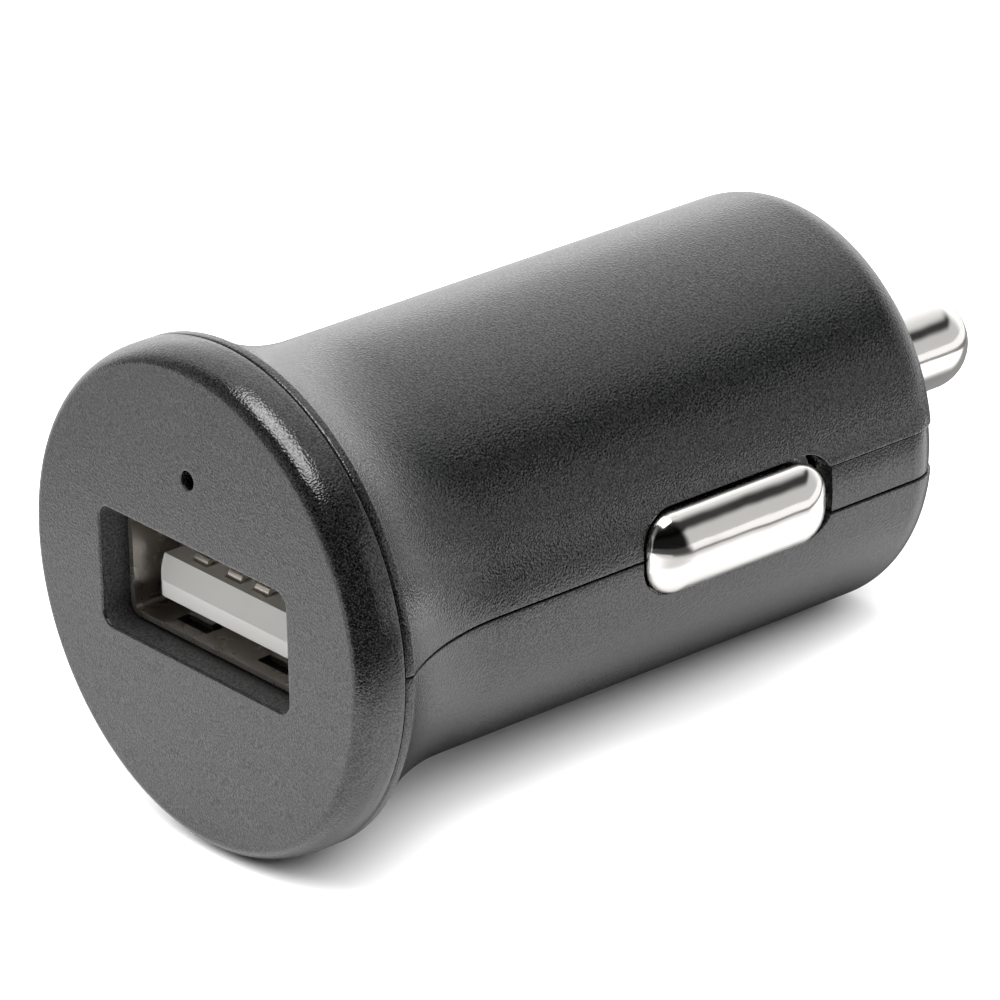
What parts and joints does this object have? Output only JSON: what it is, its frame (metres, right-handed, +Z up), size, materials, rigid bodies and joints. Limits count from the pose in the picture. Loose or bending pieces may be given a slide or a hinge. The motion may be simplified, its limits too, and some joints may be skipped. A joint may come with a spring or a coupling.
{
  "type": "car usb charger plug",
  "caption": "Stubby black charger plug for a vehicle power socket, with a flanged round face holding a USB-A port, a lamp pinhole, sprung side contacts and a sprung tip.",
  "frame": {"origin": "on the surface that the plug lies on, under the middle of its length and width", "axes": "+Z up; +Y from the face towards the sprung tip, with the plug's own axis tipped down 3.73 degrees because it rests on its flange and on the rear edge of its barrel; +X towards the side contact that the picture shows"},
  "size_m": [0.0248, 0.0488, 0.0248],
  "materials": {
    "black_plastic": "charcoal black, moulded with a fine eroded grain",
    "inner_plastic": "charcoal black, moulded smooth",
    "nickel_plate": "bright nickel plate",
    "spring_steel": "drawn wire",
    "spring_bronze": "rolled spring bronze",
    "brass_sheet": "stamped, lightly gilded",
    "socket_steel": "bright tinned steel sheet",
    "tongue_plastic": "white moulded, satin",
    "board_green": "green solder mask",
    "ferrite": "dark grey sintered ferrite",
    "copper_wire": "lacquered copper wire",
    "can_sleeve": "dark shrink sleeve",
    "chip_black": "moulded epoxy",
    "chip_ceramic": "fired ceramic",
    "tinned_lead": "tinned",
    "lamp_clear": "clear cast epoxy"
  },
  "bodies": {
    "root": {"face_cap": "black_plastic", "upper_shell": "black_plastic", "lower_shell": "black_plastic", "nose_carrier": "inner_plastic", "tip_spring": "spring_steel", "tip_terminal": "brass_sheet", "side_spring_left": "spring_bronze", "side_spring_right": "spring_bronze", "usb_shell": "socket_steel", "usb_insulator": "tongue_plastic", "usb_pin_1": "brass_sheet", "usb_pin_2": "brass_sheet", "usb_pin_3": "brass_sheet", "usb_pin_4": "brass_sheet", "circuit_board": "board_green", "inductor_core": "ferrite", "inductor_winding": "copper_wire", "input_capacitor": "can_sleeve", "output_capacitor": "can_sleeve", "regulator_chip": "chip_black", "regulator_leads": "tinned_lead", "catch_diode": "chip_black", "chip_fuse": "chip_ceramic", "chip_resistor_1": "chip_black", "chip_resistor_2": "chip_black", "chip_resistor_3": "chip_black", "chip_capacitor_1": "chip_ceramic", "chip_capacitor_2": "chip_ceramic", "indicator_lamp": "lamp_clear", "lamp_leg_left": "tinned_lead", "lamp_leg_right": "tinned_lead"},
    "tip": {"tip_contact": "nickel_plate"},
    "contact_left": {"side_contact_left": "nickel_plate"},
    "contact_right": {"side_contact_right": "nickel_plate"}
  },
  "joints": [
    {"name": "tip_slide", "type": "slide", "parent": "root", "child": "tip", "axis": [0, -0.9979, 0.0651], "range_m": [0, 0.003], "stiffness_N_per_m": 900, "springref_m": -0.002, "deforming": ["tip_spring"]},
    {"name": "side_slide_left", "type": "slide", "parent": "root", "child": "contact_left", "axis": [1, 0, 0], "range_m": [0, 0.001], "stiffness_N_per_m": 2000, "springref_m": -0.0005, "deforming": ["side_spring_left"]},
    {"name": "side_slide_right", "type": "slide", "parent": "root", "child": "contact_right", "axis": [-1, 0, 0], "range_m": [0, 0.001], "stiffness_N_per_m": 2000, "springref_m": -0.0005, "deforming": ["side_spring_right"]}
  ]
}
